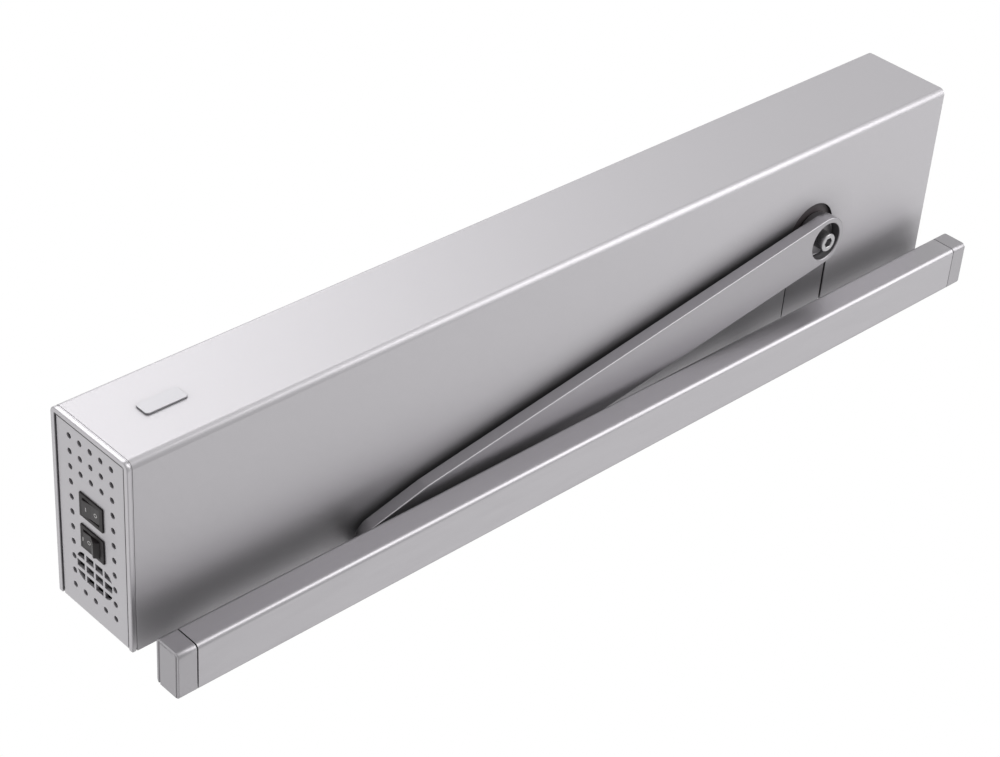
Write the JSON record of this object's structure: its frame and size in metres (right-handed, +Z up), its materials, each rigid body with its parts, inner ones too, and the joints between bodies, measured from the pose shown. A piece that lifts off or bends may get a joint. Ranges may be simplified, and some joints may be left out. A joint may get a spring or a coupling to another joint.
{
  "type": "automatic door operator",
  "caption": "Slimline automatic swing-door operator: long silver case with a perforated switch end, and an arm below it whose pin slides in a channel fixed to the door leaf.",
  "frame": {"origin": "centre of the mounting plate's back face, in the wall plane, at the middle of the four fixing holes", "axes": "+X along the case from the switch end to the spindle end, +Y into the wall, +Z up"},
  "size_m": [0.6963, 0.1442, 0.1055],
  "materials": {
    "silver_aluminium": "fine matt anodised",
    "silver_paint": "matt silver lacquer",
    "badge": "brushed",
    "zinc_plated_steel": "zinc plated",
    "screw_steel": "zinc plated",
    "spring_steel": "oiled",
    "black_plastic": "fine grain",
    "gloss_black": "smooth",
    "brass": "tinned",
    "cream_plastic": "smooth",
    "black_rubber": "matt",
    "dark_plastic": "smooth",
    "board_green": "solder mask",
    "capacitor_blue": "sleeved",
    "connector_green": "smooth",
    "cast_aluminium": "as cast",
    "dark_cast": "cast, dark coated",
    "polished_steel": "ground",
    "gear_steel": "machined",
    "motor_black": "black coated",
    "tube_steel": "drawn",
    "bronze": "sintered",
    "dark_steel": "black oxide",
    "white_acetal": "smooth",
    "grey_plastic": "silver coloured"
  },
  "bodies": {
    "case": {"mounting_plate": "zinc_plated_steel", "cover": "silver_aluminium", "cover_insert": "grey_plastic", "switch_end_cap": "silver_aluminium", "switch_end_plate": "silver_paint", "plain_end_cap": "silver_aluminium", "plain_end_plate": "silver_paint", "end_cap_screws": "screw_steel", "badge_plate": "badge", "cover_clips": "spring_steel", "power_switch_housing": "black_plastic", "program_switch_housing": "black_plastic", "switch_carrier": "black_plastic", "switch_terminals": "brass", "mains_terminal_block": "cream_plastic", "cable_grommet": "black_rubber", "power_supply": "zinc_plated_steel", "board_carrier": "dark_plastic", "control_board": "board_green", "board_capacitors": "capacitor_blue", "board_connectors": "connector_green", "board_relays": "dark_plastic", "chassis_screws": "screw_steel", "gearbox_housing": "dark_cast", "gearbox_lid": "dark_cast", "gearbox_screws": "screw_steel", "spindle_bearing_lower": "polished_steel", "spindle_bearing_upper": "polished_steel", "intermediate_pin": "polished_steel", "motor_body": "motor_black", "spring_tube": "tube_steel", "spring_guide_bush": "bronze", "spring_end_plug": "tube_steel", "spring_seat": "tube_steel", "spring_adjusting_screw": "screw_steel", "closing_spring": "spring_steel"},
    "arm": {"spindle": "polished_steel", "spindle_gear": "gear_steel", "lifting_cam": "gear_steel", "spindle_spacer": "gear_steel", "arm": "silver_paint", "arm_screw": "dark_steel", "arm_washer": "screw_steel", "slide_pin": "polished_steel"},
    "intermediate": {"intermediate_gear": "gear_steel"},
    "rotor": {"motor_pinion": "gear_steel"},
    "piston": {"spring_piston": "gear_steel", "roller_pin": "polished_steel"},
    "roller": {"cam_roller": "polished_steel"},
    "block": {"slide_block": "white_acetal"},
    "track": {"track_profile": "silver_aluminium", "track_end_cap_near": "grey_plastic", "track_end_cap_far": "grey_plastic", "track_fixing_blocks": "cast_aluminium", "track_clamp_screws": "dark_steel", "track_stop": "black_rubber"},
    "power_rocker": {"power_rocker": "gloss_black"},
    "program_rocker": {"program_rocker": "gloss_black"}
  },
  "joints": [
    {"name": "arm_swing", "type": "hinge", "parent": "case", "child": "arm", "pos_m": [0.2175, -0.061, -0.04], "axis": [0, 0, 1], "range_deg": [0, 150]},
    {"name": "intermediate_turn", "type": "hinge", "parent": "case", "child": "intermediate", "pos_m": [0.26738, -0.08418, 0], "axis": [0, 0, 1], "range_deg": [-601, 1]},
    {"name": "rotor_turn", "type": "hinge", "parent": "case", "child": "rotor", "pos_m": [0.3015, -0.061, 0], "axis": [0, 0, 1], "range_deg": [-1, 2701]},
    {"name": "piston_slide", "type": "slide", "parent": "case", "child": "piston", "axis": [-1, 0, 0], "range_m": [-0.0001, 0.0141], "deforming": ["closing_spring"]},
    {"name": "roller_turn", "type": "hinge", "parent": "piston", "child": "roller", "pos_m": [0.1945, -0.061, 0], "axis": [0, 0, 1], "range_deg": [-301, 1]},
    {"name": "block_pivot", "type": "hinge", "parent": "arm", "child": "block", "pos_m": [-0.1743, -0.0035, -0.06], "axis": [0, 0, 1], "range_deg": [-75, 20]},
    {"name": "track_slide", "type": "slide", "parent": "block", "child": "track", "axis": [1, 0, 0], "range_m": [-0.2995, 0.104]},
    {"name": "power_switch", "type": "hinge", "parent": "case", "child": "power_rocker", "pos_m": [-0.3409, -0.0774, 0], "axis": [0, 1, 0], "range_deg": [0, 14]},
    {"name": "program_switch", "type": "hinge", "parent": "case", "child": "program_rocker", "pos_m": [-0.3409, -0.0553, 0], "axis": [0, -1, 0], "range_deg": [0, 20]}
  ],
  "couplings": [
    {"joint": "intermediate_turn", "follows": "arm_swing", "ratio": -4},
    {"joint": "rotor_turn", "follows": "arm_swing", "ratio": 18},
    {"joint": "piston_slide", "follows": "arm_swing", "m_per_rad": 0.0053476},
    {"joint": "roller_turn", "follows": "arm_swing", "ratio": -2}
  ]
}
